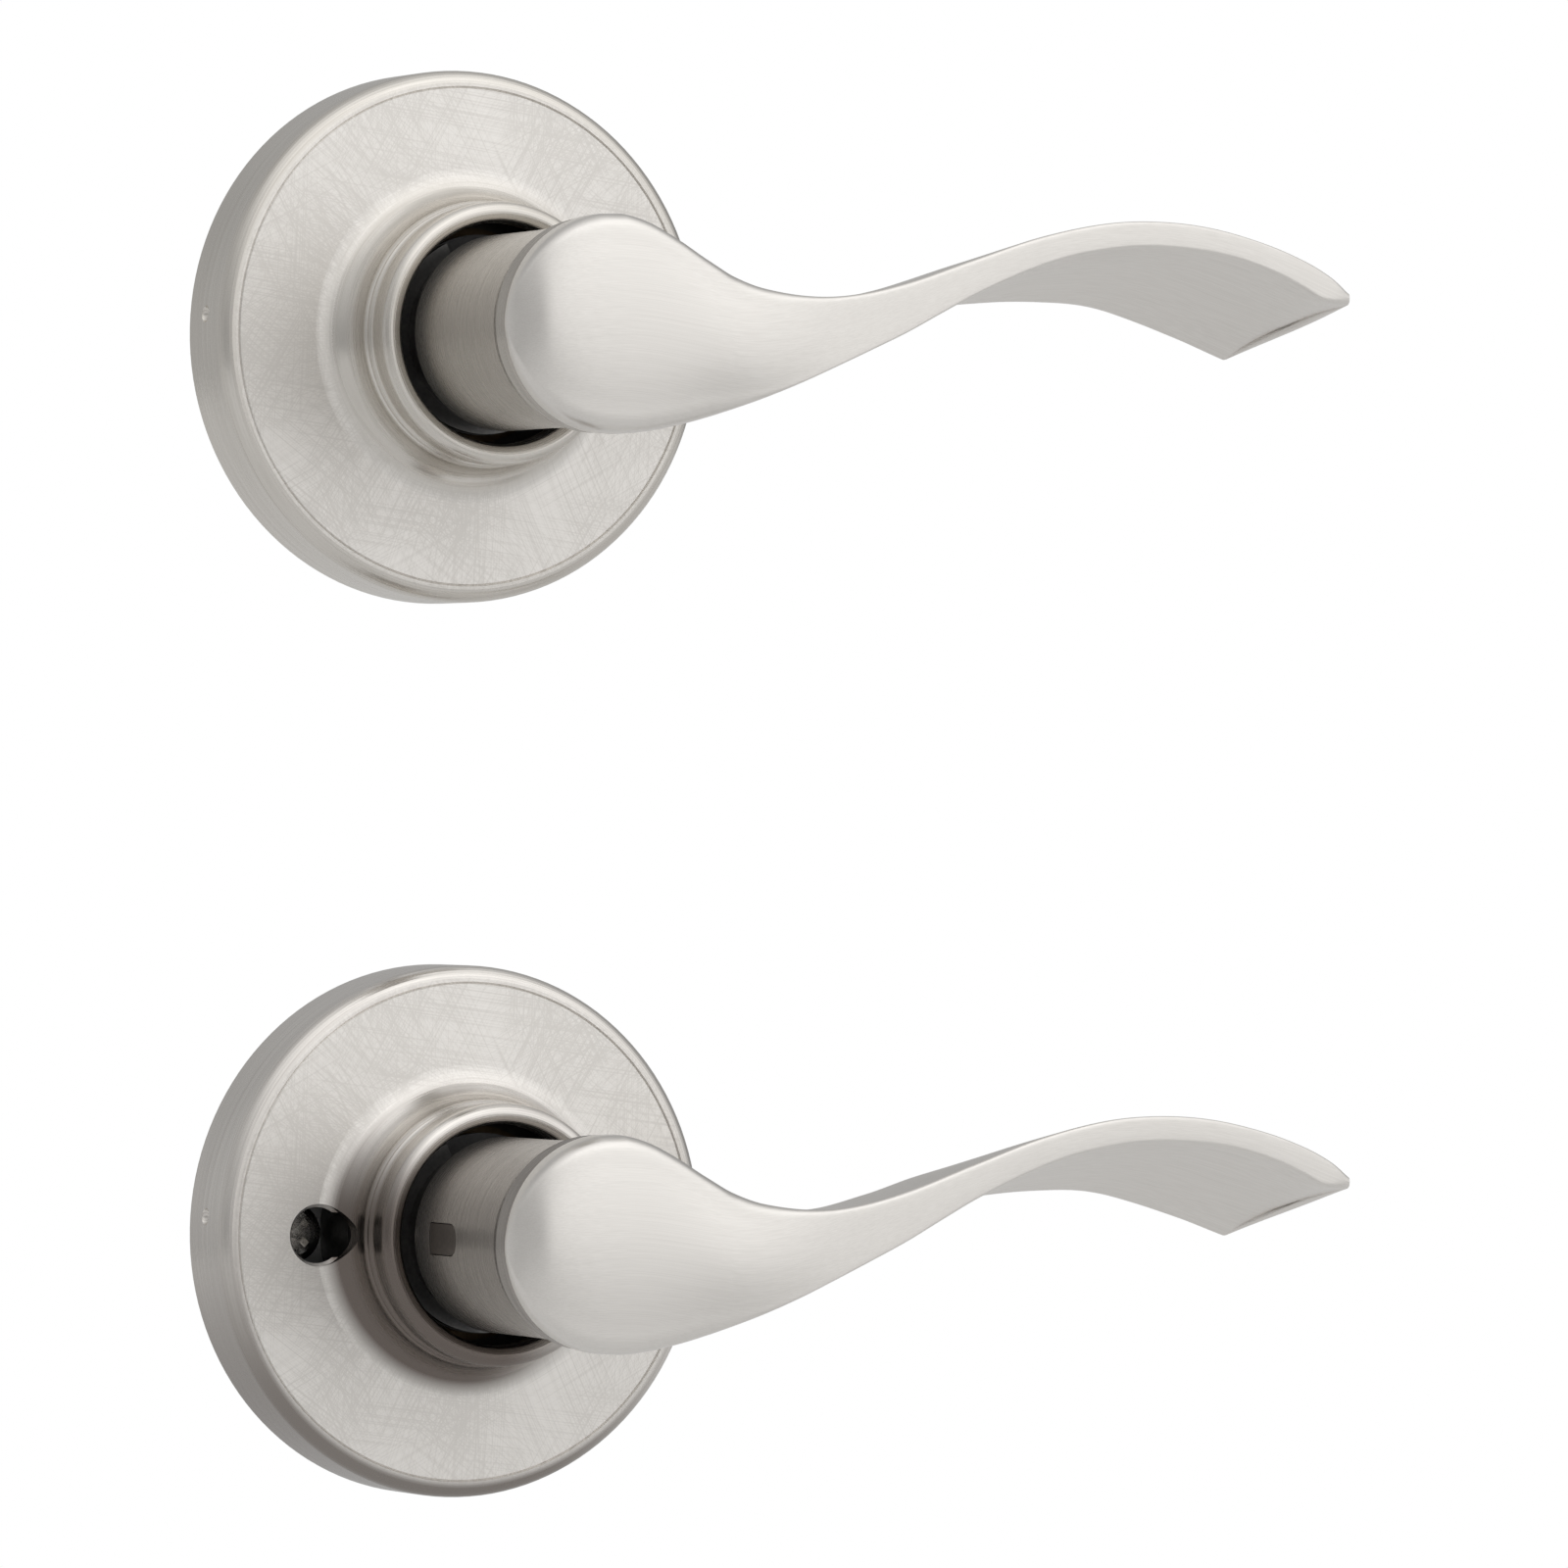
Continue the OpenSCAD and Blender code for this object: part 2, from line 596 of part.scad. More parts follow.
// Neck: sleeve over the drive tube, with its ring and the groove at the seam
function neck_outline() = concat(
    [[neck_bore_r, neck_start], [neck_r - 0.4, neck_start], [neck_r, neck_start + 0.4],
     [neck_r, neck_flare_start]],
    [for (i = [1:6]) let (t = i / 6)
        [neck_r + (neck_flare_r - neck_r) * t * t, neck_flare_start
         + (neck_flare_z - neck_flare_start) * t]],
    [[neck_ring_r - 0.06, neck_ring_z - 0.2], [neck_ring_r, neck_ring_z],
     [neck_ring_r - 0.06, neck_ring_z + 0.2], [seam_groove_r + 0.55, seam_groove_z - 0.1],
     [seam_groove_r, seam_groove_z + 0.1], [seam_groove_r, seam_height],
     [spigot_r, seam_height], [spigot_r, seam_height + spigot_h], [0, seam_height + spigot_h],
     [0, neck_bore_top], [neck_bore_r, neck_bore_top]]
);
module lever_neck(side) {
    color("silver") difference() {
        rotate_extrude() polygon(neck_outline());
        translate([-tongue_w / 2 - slide_fit, -tongue_t / 2 - slide_fit, neck_bore_top - 1])
            cube([tongue_w + 2 * slide_fit, tongue_t + 2 * slide_fit, tongue_h + 1]);
        catch_block(side, tube_r - 1, neck_r + 1, slide_fit);
    }
}
module lever_grip() {
    color("gainsboro") difference() {
        skin([for (x = stations) station(x)]);
        disc(spigot_r + seat_fit, seam_height - 1, seam_height + spigot_h + 0.2);
    }
}

// Tapped posts of the outside handle, riveted into its plate
module mounting_posts() {
    color("lightgray") both_sides() difference() {
        union() {
            disc(post_r, -post_reach, plate_t + eps);
            disc(post_head_r, plate_t, plate_t + post_head_h);
        }
        disc(post_tap_r, -post_reach - 1, -post_reach + post_tap_depth);
    }
}
// Square spindle that turns with the outside lever
module spindle() {
    h = spindle_reach + spindle_in;
    corner_r = spindle_w / sqrt(2) - 0.3;
    color("silver") translate([0, 0, -spindle_reach]) intersection() {
        translate([-spindle_w / 2, -spindle_w / 2, 0]) cube([spindle_w, spindle_w, h]);
        union() {
            cylinder(r1 = corner_r - spindle_chamfer, r2 = corner_r, h = spindle_chamfer);
            disc(corner_r, spindle_chamfer - eps, h);
        }
    }
}
// Pan-head screws of the inside handle
module mounting_screws() {
    tip = 1;
    dome = 0.9;
    thread_end = -0.85;
    thin_r = screw_r - 0.25;
    color("lightgray") both_sides() difference() {
        rotate_extrude() polygon(concat(
            [[0, -screw_reach], [screw_r - tip * 0.7, -screw_reach], [screw_r, -screw_reach + tip],
             [screw_r, thread_end], [thin_r, thread_end + 0.25], [thin_r, plate_t],
             [screw_head_r, plate_t], [screw_head_r, plate_t + screw_head_h - dome]],
            [for (i = [1:5]) let (a = 18 * i)
                [screw_head_r * (0.35 + 0.65 * cos(a)), plate_t + screw_head_h - dome + dome * sin(a)]],
            [[0, plate_t + screw_head_h]]
        ));
        for (a = [45, 135])
            rotate([0, 0, a])
                translate([-cross_l / 2, -cross_w / 2, plate_t + screw_head_h - cross_depth])
                    cube([cross_l, cross_w, cross_depth + 1]);
    }
}

// The catch is on the lever's side of the outside handle, and opposite the lever on the inside one
outside_handle() rose(false);  // outside_rose
outside_handle() mounting_plate(post_r + seat_fit);  // outside_mounting_plate
outside_handle() spring_cage();  // outside_spring_cage
outside_handle() cage_rivets();  // outside_cage_rivets
outside_handle() return_spring();  // outside_return_spring
outside_handle() hub_bush();  // outside_hub_bush
outside_handle() thrust_washer();  // outside_thrust_washer
outside_handle() retaining_ring();  // outside_retaining_ring
outside_handle() cam_plate();  // outside_cam_plate
outside_handle() drive_tube(1);  // outside_drive_tube
outside_handle() lever_catch(1);  // outside_lever_catch
outside_handle() catch_spring(1);  // outside_catch_spring
outside_handle() lever_neck(1);  // outside_lever_neck
outside_handle() lever_grip();  // outside_lever_grip
outside_handle() mounting_posts();  // outside_mounting_posts
outside_handle() spindle();  // outside_spindle
inside_handle() rose(true);  // inside_rose
inside_handle() mounting_plate(screw_hole_r);  // inside_mounting_plate
inside_handle() spring_cage();  // inside_spring_cage
inside_handle() cage_rivets();  // inside_cage_rivets
inside_handle() return_spring();  // inside_return_spring
inside_handle() hub_bush();  // inside_hub_bush
inside_handle() thrust_washer();  // inside_thrust_washer
inside_handle() retaining_ring();  // inside_retaining_ring
inside_handle() cam_plate();  // inside_cam_plate
inside_handle() drive_tube(-1);  // inside_drive_tube
inside_handle() lever_catch(-1);  // inside_lever_catch
inside_handle() catch_spring(-1);  // inside_catch_spring
inside_handle() lever_neck(-1);  // inside_lever_neck
inside_handle() lever_grip();  // inside_lever_grip
inside_handle() mounting_screws();  // inside_mounting_screws
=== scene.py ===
import math

import bpy
import numpy as np
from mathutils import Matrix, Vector


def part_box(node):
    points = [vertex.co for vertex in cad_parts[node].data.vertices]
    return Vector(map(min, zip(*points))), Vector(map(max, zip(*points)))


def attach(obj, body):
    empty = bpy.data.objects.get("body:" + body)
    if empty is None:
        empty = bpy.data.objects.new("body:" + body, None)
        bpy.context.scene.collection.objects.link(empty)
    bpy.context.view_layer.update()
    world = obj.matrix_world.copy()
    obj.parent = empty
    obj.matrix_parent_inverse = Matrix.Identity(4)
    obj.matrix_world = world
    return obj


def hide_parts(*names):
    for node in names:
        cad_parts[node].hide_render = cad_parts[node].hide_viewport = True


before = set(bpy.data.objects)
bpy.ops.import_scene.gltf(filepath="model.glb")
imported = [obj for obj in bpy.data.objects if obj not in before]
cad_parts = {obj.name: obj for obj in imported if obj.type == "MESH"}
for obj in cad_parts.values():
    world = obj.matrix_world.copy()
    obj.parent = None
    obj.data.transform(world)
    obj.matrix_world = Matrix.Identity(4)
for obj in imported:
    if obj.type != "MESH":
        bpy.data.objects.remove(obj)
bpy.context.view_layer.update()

MM = 0.001
HANDLES = ("outside", "inside")


def rose_box(handle):
    """Lowest and highest corner of a handle's rose, in millimetres."""
    lo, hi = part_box(handle + "_rose")
    return lo / MM, hi / MM


def axis_height(handle):
    """Height of a handle's turning axis, in millimetres."""
    lo, hi = rose_box(handle)
    return (lo.z + hi.z) / 2


# Sizes in millimetres. A handle's own x runs along its lever, y upwards and z out of the door.
rose_low, rose_high = rose_box("inside")
grip_low, grip_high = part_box("inside_lever_grip")
ROSE_R = (rose_high.x - rose_low.x) / 2
HEAD_R = -grip_low.x / MM
LEVER_LENGTH = grip_high.x / MM
SEAM_HEIGHT = 48.6
DOME_HEIGHT = 5.3
DOME_EDGE = 0.2
DOME_SQUARENESS = 3.4
DOME_CREST = 0.6 * HEAD_R
REAR_MARGIN = 0.3
WAVE_RISE = 14.6
END_SKEW = 8.5
END_BULGE = 2.6
HEAD_CORNER_R = 3.6
TOP_CORNER_R = 0.7
LOW_CORNER_R = 0.3
REAR_CORNER_R = 0.5
# Shares of the lever's length where its end starts to skew, to bulge and to round off
SKEW_FROM = 0.52
BULGE_FROM = 0.88
TIP_FROM = 0.94
# Angles round the head's circle, in degrees: its first section, and how far its sections go
HEAD_START = 1.5
HEAD_SWEEP = 80

# ---------------------------------------------------------------- lever

# Lines along the lever: share of its length, height above the axis in wave rises
TOP_LINE = (
    (0.15, 0.418), (0.187, 0.322), (0.243, 0.264), (0.30, 0.281), (0.374, 0.397),
    (0.467, 0.616), (0.56, 0.829), (0.654, 0.969), (0.73, 1), (0.804, 0.959),
    (0.879, 0.842), (0.935, 0.705), (0.972, 0.575), (1, 0.43),
)
LOW_LINE = (
    (0.15, -0.699), (0.187, -0.603), (0.234, -0.466), (0.28, -0.325), (0.327, -0.178),
    (0.374, -0.027), (0.421, 0.144), (0.467, 0.308), (0.514, 0.452), (0.56, 0.575),
    (0.607, 0.671), (0.654, 0.733), (0.70, 0.767), (0.748, 0.767), (0.804, 0.733),
    (0.85, 0.671), (0.897, 0.568), (0.935, 0.452), (0.963, 0.356), (1, 0.336),
)
REAR_TOP_LINE = (
    (0.15, 0.40), (0.187, 0.308), (0.28, 0.233), (0.374, 0.342), (0.467, 0.50),
    (0.56, 0.56), (0.654, 0.548), (0.748, 0.452), (0.841, 0.295), (0.916, 0.144),
    (0.972, 0.021), (1, -0.048),
)
REAR_LOW_LINE = (
    (0.15, -0.66), (0.224, -0.404), (0.30, -0.164), (0.374, 0.041), (0.467, 0.219),
    (0.56, 0.288), (0.654, 0.308), (0.748, 0.288), (0.841, 0.185), (0.935, 0.027),
    (1, -0.13),
)
# Lines in depth: share of the lever's length, height above the seam
FRONT_DEPTH = (
    (0.075, 1), (0.15, 1.01), (0.28, 0.87), (0.467, 0.55), (0.654, 0.2), (0.841, -0.15),
    (0.98, -0.42), (1, -0.5),
)
REAR_DEPTH = (
    (0.224, -3), (0.30, -5.6), (0.374, -8), (0.467, -10.7),
    (0.56, -13), (0.654, -15), (0.748, -16.8), (0.841, -18.4), (0.935, -19.9), (1, -20.6),
)
# The round head's outline on each side: share of its radius along the lever, and across it
HEAD_TOP = ((-0.3, 0.954), (0, 1), (0.3, 0.935), (0.6, 0.79), (0.9, 0.61))
HEAD_LOW = ((-0.3, 0.954), (0, 1), (0.3, 0.98), (0.6, 0.925), (0.9, 0.85))
HEAD_STEPS = 44
ARM_STEPS = 150
CORNER_STEPS = 6
SIDE_STEPS = 12
SHARP_ANGLE = 50


def ease(t):
    """0 up to 0, 1 from 1 on, and a smooth rise between."""
    c = min(max(t, 0.0), 1.0)
    return c * c * (3 - 2 * c)


def curve(knots, x):
    """Smooth curve through knots of (x, y)."""
    i = 0
    while i < len(knots) - 2 and x > knots[i + 1][0]:
        i += 1

    def slope(k):
        a, b = knots[max(k - 1, 0)], knots[min(k + 1, len(knots) - 1)]
        return (b[1] - a[1]) / (b[0] - a[0])

    width = knots[i + 1][0] - knots[i][0]
    t = (x - knots[i][0]) / width
    return (
        (2 * t**3 - 3 * t**2 + 1) * knots[i][1]
        + (t**3 - 2 * t**2 + t) * width * slope(i)
        + (3 * t**2 - 2 * t**3) * knots[i + 1][1]
        + (t**3 - t**2) * width * slope(i + 1)
    )


def line_knots(head, side, line):
    """Knots of an edge: round the head, then along the lever's line."""
    return [(x * HEAD_R, side * y * HEAD_R) for x, y in head] + [
        (x * LEVER_LENGTH, y * WAVE_RISE) for x, y in line
    ]


TOP_KNOTS = line_knots(HEAD_TOP, 1, TOP_LINE)
LOW_KNOTS = line_knots(HEAD_LOW, -1, LOW_LINE)
REAR_TOP_KNOTS = line_knots(HEAD_TOP, 1, REAR_TOP_LINE)
REAR_LOW_KNOTS = line_knots(HEAD_LOW, -1, REAR_LOW_LINE)
FRONT_KNOTS = [(x * LEVER_LENGTH, y * DOME_HEIGHT + SEAM_HEIGHT) for x, y in FRONT_DEPTH]
REAR_START = HEAD_R + REAR_MARGIN
REAR_KNOTS = [(REAR_START, SEAM_HEIGHT)] + [(x * LEVER_LENGTH, y + SEAM_HEIGHT) for x, y in REAR_DEPTH]


def edge_height(knots, side, x):
    """Height of an edge at x: the head's circle behind the axis, the knots' curve before it."""
    if x < 0:
        return side * math.sqrt(max(HEAD_R**2 - x**2, 0))
    return curve(knots, x)


def front_z(x):
    """Depth of the front: the head's dome up to its crest, then the arm's line."""
    if x >= DOME_CREST:
        return curve(FRONT_KNOTS, x)
    t = (DOME_CREST - x) / (DOME_CREST + HEAD_R)
    rise = math.sqrt(max(1 - t**DOME_SQUARENESS, 0))
    return SEAM_HEIGHT + DOME_EDGE + (DOME_HEIGHT - DOME_EDGE) * rise


def rear_z(x):
    """Depth of the rear: flat on the seam under the head, then the arm's line."""
    return SEAM_HEIGHT if x < REAR_START else curve(REAR_KNOTS, x)


def corner(a, c, b, radius):
    """Rounded corner at c, between its neighbours a and b."""
    u, v = a - c, b - c
    cut = min(radius, 0.45 * np.linalg.norm(u), 0.45 * np.linalg.norm(v))
    p = c + u / np.linalg.norm(u) * cut
    q = c + v / np.linalg.norm(v) * cut
    shares = [i / CORNER_STEPS for i in range(CORNER_STEPS + 1)]
    return [(1 - t) ** 2 * p + 2 * t * (1 - t) * c + t**2 * q for t in shares]


def between(first, second, bow):
    """Points between two rounded corners, bowed outwards."""
    a = first[-1]
    d = second[0] - a
    n = np.array((d[1], -d[0])) / np.linalg.norm(d)
    shares = [i / SIDE_STEPS for i in range(1, SIDE_STEPS)]
    return [a + d * t + n * bow * 4 * t * (1 - t) for t in shares]


def section(x):
    """The lever's outline at x, as (height, depth) points."""
    share = x / LEVER_LENGTH
    blade = ease((share - 0.35) / 0.25)
    tip = ease((share - TIP_FROM) / (1 - TIP_FROM))
    front_top = np.array((edge_height(TOP_KNOTS, 1, x), front_z(x)))
    front_low = np.array((edge_height(LOW_KNOTS, -1, x), front_z(x)))
    rear_low = np.array((edge_height(REAR_LOW_KNOTS, -1, x), rear_z(x)))
    rear_top = np.array((edge_height(REAR_TOP_KNOTS, 1, x), rear_z(x)))
    crown = 0.02 + 0.88 * ease((front_top[0] - front_low[0]) / HEAD_R - 0.5)
    top_r = HEAD_CORNER_R * (1 - ease(share / 0.3)) + TOP_CORNER_R
    low_r = HEAD_CORNER_R * (1 - ease(share / 0.25)) + LOW_CORNER_R * (1 + tip)
    rear_r = REAR_CORNER_R + 0.4 * blade
    c_fl = corner(front_top, front_low, rear_low, low_r)
    c_rl = corner(front_low, rear_low, rear_top, rear_r)
    c_rt = corner(rear_low, rear_top, front_top, rear_r)
    c_ft = corner(rear_top, front_top, front_low, top_r)
    return (
        between(c_ft, c_fl, crown) + c_fl
        + between(c_fl, c_rl, -0.7 * blade) + c_rl
        + between(c_rl, c_rt, -0.02) + c_rt
        + between(c_rt, c_ft, 0.5 * blade) + c_ft
    )


def station(x):
    """A ring of points (x, y, z) round the lever, with the tip's skew and rounding."""
    zf, zr = front_z(x), rear_z(x)
    share = x / LEVER_LENGTH
    skew = END_SKEW * ease((share - SKEW_FROM) / (1 - SKEW_FROM))
    bulge = END_BULGE * ease((share - BULGE_FROM) / (1 - BULGE_FROM))
    ring = []
    for y, z in section(x):
        d = min(max((zf - z) / (zf - zr), 0), 1)
        ring.append((x - skew * d + bulge * math.sin(math.pi * d), y, z))
    return ring


def lever_stations():
    """Places of the sections along x: dense round the head, then along the arm."""
    angles = [math.radians(HEAD_START + HEAD_SWEEP * i / (HEAD_STEPS - 1)) for i in range(HEAD_STEPS)]
    head = [-HEAD_R * math.cos(angle) for angle in angles]
    shares = [i / ARM_STEPS for i in range(1, ARM_STEPS + 1)]
    return head + [LEVER_LENGTH * (0.82 * t + 0.18 * math.sin(math.pi / 2 * t)) for t in shares]


def to_world(points):
    """A handle's own (x, y, z) in millimetres, as Blender's metres about its axis."""
    p = np.asarray(points, float)
    return np.stack((p[:, 0], -p[:, 2], p[:, 1]), axis=1) * MM


def new_piece(name, handle, points, faces, flow):
    """A smooth mesh whose origin is on its handle's axis at the door, and which keeps its flow."""
    mesh = bpy.data.meshes.new(name)
    mesh.from_pydata(to_world(points).tolist(), [], faces)
    mesh.update()
    mesh.shade_smooth()
    layer = mesh.attributes.new("flow", "FLOAT_VECTOR", "POINT")
    layer.data.foreach_set("vector", np.asarray(flow, np.float32).ravel())
    piece = bpy.data.objects.new(name, mesh)
    piece.location = (0, 0, axis_height(handle) * MM)
    bpy.context.scene.collection.objects.link(piece)
    mesh.set_sharp_from_angle(angle=math.radians(SHARP_ANGLE))
    return piece


def make_lever(handle):
    """The lever's grip: one smooth skin lofted through its stations."""
    rings = [station(x) for x in lever_stations()]
    n = len(rings[0])
    points = [p for ring in rings for p in ring]
    # The brushing's own coordinates: along the lever, and across it from each section's middle
    flow = []
    for ring in rings:
        middle = np.mean(np.array(ring), axis=0)
        flow += [(p[0], p[1] - middle[1], p[2] - middle[2]) for p in ring]
    faces = []
    for k in range(len(rings) - 1):
        for i in range(n):
            a, b = k * n + i, k * n + (i + 1) % n
            faces.append((a, a + n, b + n, b))
    last = (len(rings) - 1) * n
    for cap in (0, last):
        middle = np.mean(np.array(points[cap:cap + n]), axis=0)
        points.append(tuple(middle))
        flow.append(flow[cap])
        hub = len(points) - 1
        for i in range(n):
            pair = (cap + i, cap + (i + 1) % n)
            faces.append((hub, *pair) if cap == 0 else (hub, *pair[::-1]))
    piece = new_piece(handle + "_lever_skin", handle, points, faces, flow)
    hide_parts(handle + "_lever_grip")
    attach(piece, handle + "_lever")
    return piece


# ---------------------------------------------------------------- materials


def add(tree, kind, values=None, **settings):
    """A node with its settings, and values or links for its inputs."""
    n = tree.nodes.new(kind)
    for key, value in settings.items():
        setattr(n, key, value)
    for key, value in (values or {}).items():
        if isinstance(value, bpy.types.NodeSocket):
            tree.links.new(value, n.inputs[key])
        else:
            n.inputs[key].default_value = value
    return n


def maths(tree, operation, a, b=0.0):
    """The result of one sum on two values or links."""
    return add(tree, "ShaderNodeMath", {0: a, 1: b}, operation=operation).outputs[0]


def mapped_range(tree, value, low, high, to_low=0.0, to_high=1.0):
    """A value's way from low to high, as a number from to_low to to_high."""
    return add(tree, "ShaderNodeMapRange", {
        "Value": value, "From Min": low, "From Max": high, "To Min": to_low, "To Max": to_high,
    }).outputs[0]


def brush_along(tree, shader, axis):
    """Point the shader's highlights round an axis."""
    tangent = add(tree, "ShaderNodeTangent", direction_type="RADIAL", axis=axis).outputs[0]
    tree.links.new(tangent, shader.inputs["Tangent"])


def blank(name, metallic, roughness, anisotropic=0.0, rotation=0.0):
    """A new material with a principled shader whose uniform values are set."""
    material = bpy.data.materials.new(name)
    material.use_nodes = True
    tree = material.node_tree
    tree.nodes.clear()
    shader = add(tree, "ShaderNodeBsdfPrincipled", {
        "Metallic": metallic, "Roughness": roughness,
        "Anisotropic": anisotropic, "Anisotropic Rotation": rotation,
    })
    out = add(tree, "ShaderNodeOutputMaterial")
    tree.links.new(shader.outputs[0], out.inputs[0])
    return material, tree, shader


def streaks(tree, vector, size, low, high, turn=0.0, shift=0.0, detail=2.0):
    """Fine lines, 0 to 1: noise stretched to the given size in millimetres, turned about y."""
    mapped = add(tree, "ShaderNodeMapping", {
        "Vector": vector, "Location": (shift * MM, shift * MM, shift * MM),
        "Rotation": (0, math.radians(turn), 0), "Scale": tuple(s * MM for s in size),
    }, vector_type="TEXTURE").outputs[0]
    noise = add(tree, "ShaderNodeTexNoise", {
        "Vector": mapped, "Scale": 1.0, "Detail": detail, "Roughness": 0.6,
    }).outputs[0]
    return mapped_range(tree, noise, low, high)


def centred(tree, handle):
    """Object coordinates of a CAD node, from its handle's axis at the door."""
    coords = add(tree, "ShaderNodeTexCoord").outputs["Object"]
    return add(tree, "ShaderNodeVectorMath", {
        0: coords, 1: (0, 0, axis_height(handle) * MM),
    }, operation="SUBTRACT").outputs[0]


def across_axis(tree, vector):
    """A place's part across the handle's axis, its unit vector and its length, the radius."""
    parts = add(tree, "ShaderNodeSeparateXYZ", {0: vector})
    flat = add(tree, "ShaderNodeCombineXYZ", {0: parts.outputs[0], 2: parts.outputs[2]}).outputs[0]
    unit = add(tree, "ShaderNodeVectorMath", {0: flat}, operation="NORMALIZE").outputs[0]
    radius = add(tree, "ShaderNodeVectorMath", {0: flat}, operation="LENGTH").outputs["Value"]
    return unit, radius


def circle_coords(tree, unit, circle_r, height):
    """Coordinates on a circle of the given radius in millimetres, with a height along y."""
    circle = add(tree, "ShaderNodeVectorMath", {
        0: unit, "Scale": circle_r * MM,
    }, operation="SCALE").outputs[0]
    around = add(tree, "ShaderNodeSeparateXYZ", {0: circle})
    return add(tree, "ShaderNodeCombineXYZ", {
        0: around.outputs[0], 1: height, 2: around.outputs[2],
    }).outputs[0]


def turned_lines(tree, place, circle_r, length):
    """Lines that run round the axis, as a lathe or a brush leaves them."""
    unit, radius = across_axis(tree, place)
    depth = add(tree, "ShaderNodeSeparateXYZ", {0: place}).outputs[1]
    height = maths(tree, "SUBTRACT", radius, depth)
    return streaks(tree, circle_coords(tree, unit, circle_r, height), (length, 0.16, length), 0.3, 0.75)


def mixed(tree, share, a, b):
    """Colour a where the share is 0 and b where it is 1."""
    n = add(tree, "ShaderNodeMix", {"Factor": share}, data_type="RGBA")
    for key, value in (("A_Color", a), ("B_Color", b)):
        socket = next(s for s in n.inputs if s.identifier == key)
        if isinstance(value, bpy.types.NodeSocket):
            tree.links.new(value, socket)
        else:
            socket.default_value = (*value, 1)
    return next(s for s in n.outputs if s.identifier == "Result_Color")


def finish_surface(tree, shader, light, dark, lines, roughness, spread, bump_mm, strength):
    """Colour, roughness and relief that follow the brushed lines."""
    tree.links.new(mixed(tree, lines, light, dark), shader.inputs["Base Color"])
    offset = mapped_range(tree, lines, 0, 1, -spread, spread)
    rough = maths(tree, "ADD", offset, roughness)
    tree.links.new(rough, shader.inputs["Roughness"])
    bump = add(tree, "ShaderNodeBump", {
        "Height": lines, "Distance": bump_mm * MM, "Strength": strength,
    })
    tree.links.new(bump.outputs[0], shader.inputs["Normal"])


# Light and dark tones of the brushed metal. The turned parts and the necks are the same metal on both
# handles; their tones differ per handle as painted light, and the necks' tones are darkened as painted
# shade.
NICKEL = (0.78, 0.755, 0.72)
NICKEL_WORN = (0.68, 0.655, 0.62)
# Painted light: the same turned metal is lighter on the inside handle and darker on the outside one
TURNED_PAINTED_LIGHT_TONES = {
    "outside": ((0.72, 0.69, 0.645), (0.56, 0.53, 0.485)),
    "inside": ((0.78, 0.75, 0.71), (0.56, 0.53, 0.50)),
}
# Painted shade: the necks are far darker than the metal, most of all on the inside handle, standing in for
# dark reflections
NECK_PAINTED_SHADE_TONES = {
    "outside": ((0.50, 0.47, 0.43), (0.40, 0.375, 0.34)),
    "inside": ((0.37, 0.345, 0.32), (0.26, 0.24, 0.22)),
}
# Painted shade on the inside rose: its bell and rim go darker towards the lower side, a painted dark
# reflection. Colour, direction across its face, and where the shade starts and is full
BELL_PAINTED_SHADE = ((0.17, 0.145, 0.13), (-0.75, 0, -0.66), -0.15, 0.7)
RIM_PAINTED_SHADE = ((0.27, 0.245, 0.225), (-0.3, 0, -0.95), 0.1, 0.9)

# Directions of the scratches on a rose's face, in degrees, and radii where its finishes change over
SCRATCH_TURNS = (8, 37, 64, 93, 121, 152)
RIM_FROM = ROSE_R - 2.2
RIM_FULL = ROSE_R - 1.2
BELL_FROM = 20.6
BELL_FULL = 18.6


def with_painted_shade(tree, unit, colour, shade):
    """A colour that goes over to a painted shade's colour on one side of the axis."""
    tone, way, start, full = shade
    facing = add(tree, "ShaderNodeVectorMath", {0: unit, 1: way}, operation="DOT_PRODUCT").outputs["Value"]
    share = add(tree, "ShaderNodeMapRange", {
        "Value": facing, "From Min": start, "From Max": full,
    }, interpolation_type="SMOOTHSTEP").outputs[0]
    return mixed(tree, share, colour, tone)


def crossed_lines(tree, place):
    """Scratches in several directions on a rose's face, in patches, with some that run outwards."""
    lines = None
    for i, turn in enumerate(SCRATCH_TURNS):
        fine = streaks(tree, place, (20, 9, 0.17), 0.5, 0.72, turn, 31 * i + 5, 1.0)
        patch = streaks(tree, place, (14, 14, 11), 0.34, 0.56, turn, 53 * i + 11, 0.0)
        layer = maths(tree, "MULTIPLY", fine, patch)
        lines = layer if lines is None else maths(tree, "ADD", lines, layer)
    unit, radius = across_axis(tree, place)
    outwards = streaks(tree, circle_coords(tree, unit, 27, radius), (0.2, 30, 0.2), 0.48, 0.8, 0, 7, 1.0)
    patch = streaks(tree, place, (22, 22, 22), 0.35, 0.6, 0, 40, 0.0)
    lines = maths(tree, "ADD", lines, maths(tree, "MULTIPLY", outwards, patch))
    return add(tree, "ShaderNodeMath", {
        0: lines, 1: 0.85,
    }, operation="MULTIPLY", use_clamp=True).outputs[0]


